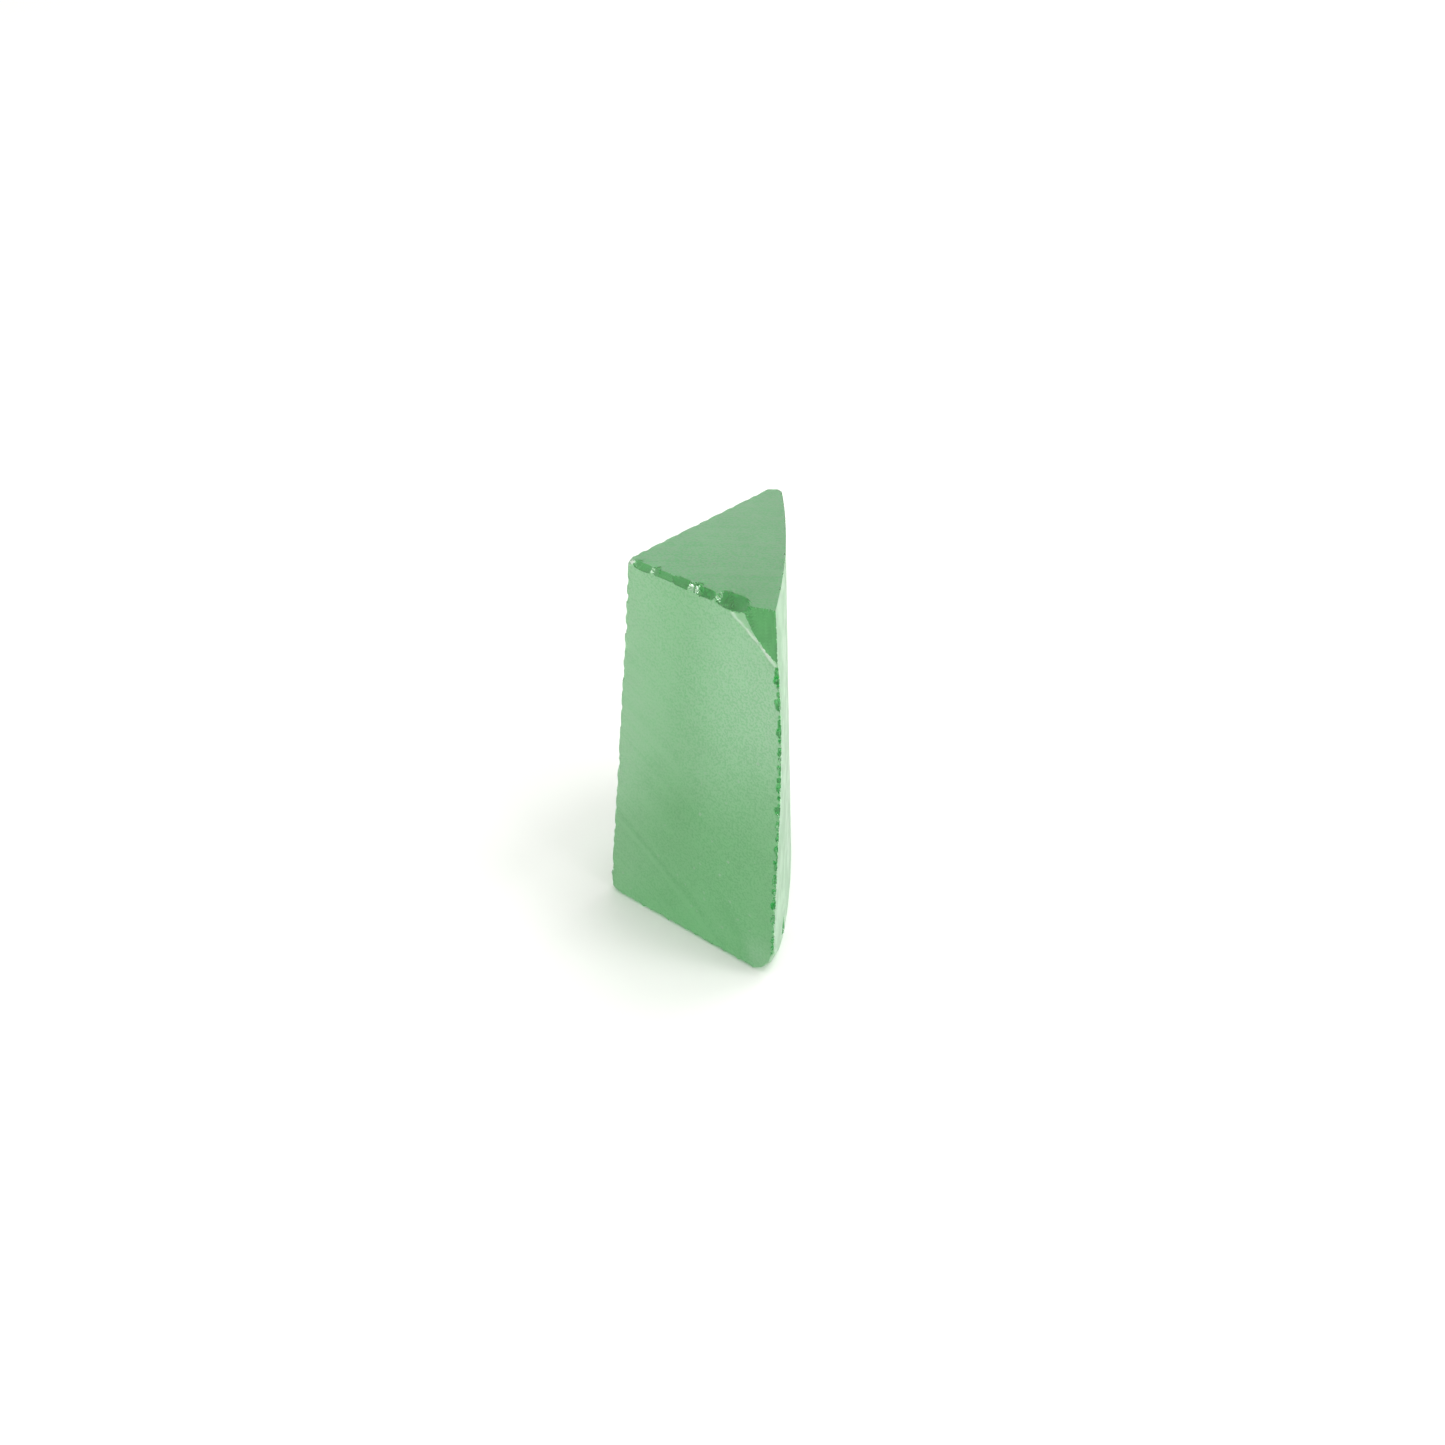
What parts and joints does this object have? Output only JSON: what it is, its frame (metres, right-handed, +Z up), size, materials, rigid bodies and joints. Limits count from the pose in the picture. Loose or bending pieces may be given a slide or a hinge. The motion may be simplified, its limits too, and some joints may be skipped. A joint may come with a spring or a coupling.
{
  "type": "gem cutting rough block",
  "caption": "Upright three-sided block of translucent green crystal rough, with frosted sawn faces, one smooth bowed side, a broken tip and chipped edges.",
  "frame": {"origin": "middle of the bounding box of the block, on the sawn base", "axes": "+Z up along the block's height, -Y out of the square front face, +X towards the edge where the front face meets the bowed skin"},
  "size_m": [0.0148, 0.018, 0.026],
  "materials": {
    "green_crystal": "translucent crystal, finely frosted on the sawn faces, smooth on the bowed side and glassy in the chips"
  },
  "bodies": {
    "root": {"crystal_block": "green_crystal"}
  },
  "joints": []
}
